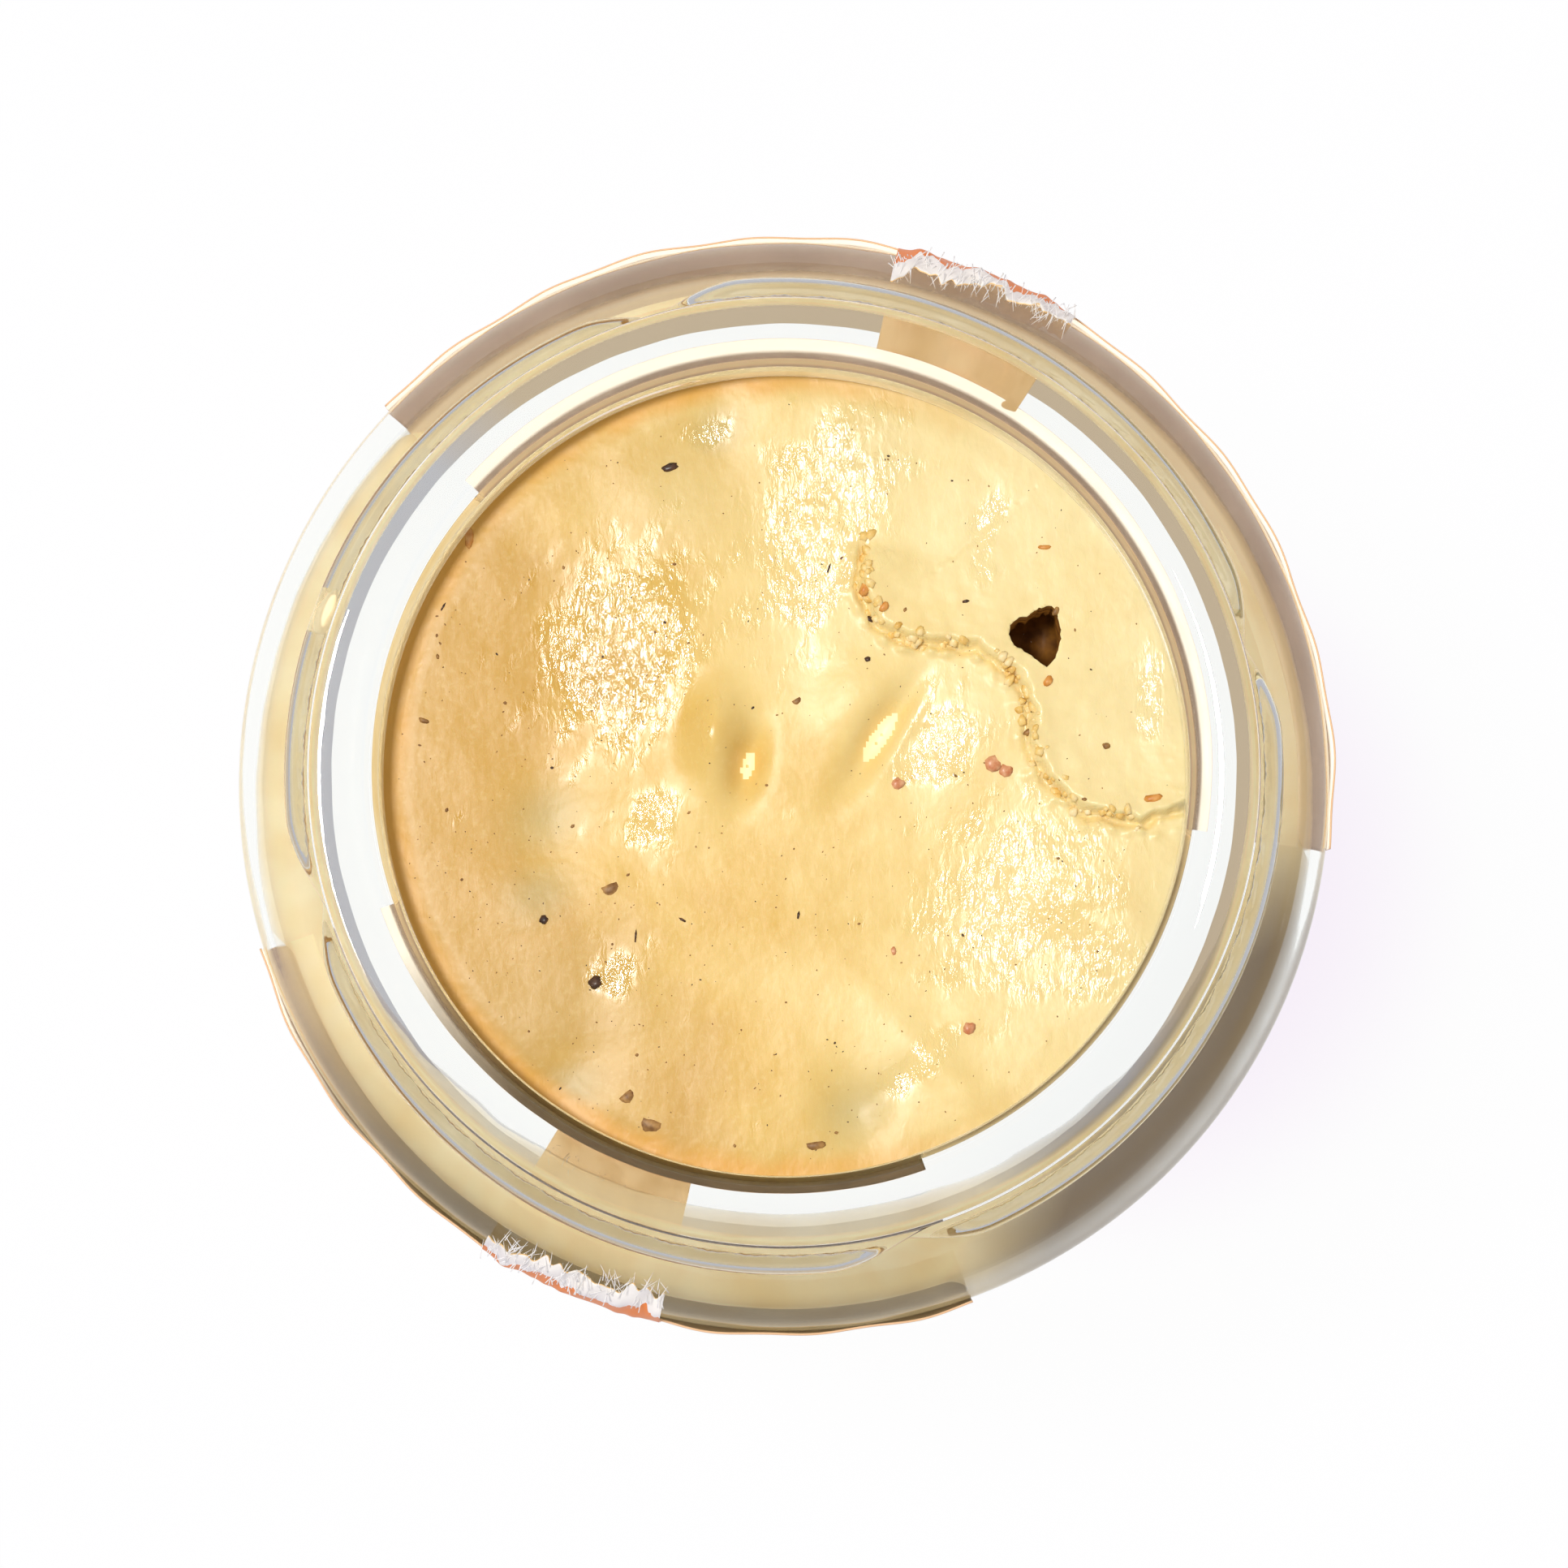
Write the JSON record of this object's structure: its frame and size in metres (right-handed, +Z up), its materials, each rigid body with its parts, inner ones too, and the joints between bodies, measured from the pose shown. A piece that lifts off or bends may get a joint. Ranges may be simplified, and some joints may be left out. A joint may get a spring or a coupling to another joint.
{
  "type": "mustard jar",
  "caption": "Open round clear glass jar with a twist-off neck, filled with smooth mustard almost to the rim, with paper labels round its wall and the torn ends of a paper seal on its shoulder.",
  "frame": {"origin": "middle of the foot, on the surface that the jar stands on", "axes": "+Z up out of the mouth, the wider label round the +X and +Y sides, the narrower label round the -X and -Y sides"},
  "size_m": [0.0692, 0.0694, 0.09],
  "materials": {
    "clear_glass": "polished",
    "mustard": "wet paste",
    "label_paper": "coated paper",
    "seal_paper": "thin paper"
  },
  "bodies": {
    "root": {"jar": "clear_glass", "mustard": "mustard", "label_front": "label_paper", "label_back": "label_paper", "seal_front": "seal_paper", "seal_back": "seal_paper"}
  },
  "joints": []
}
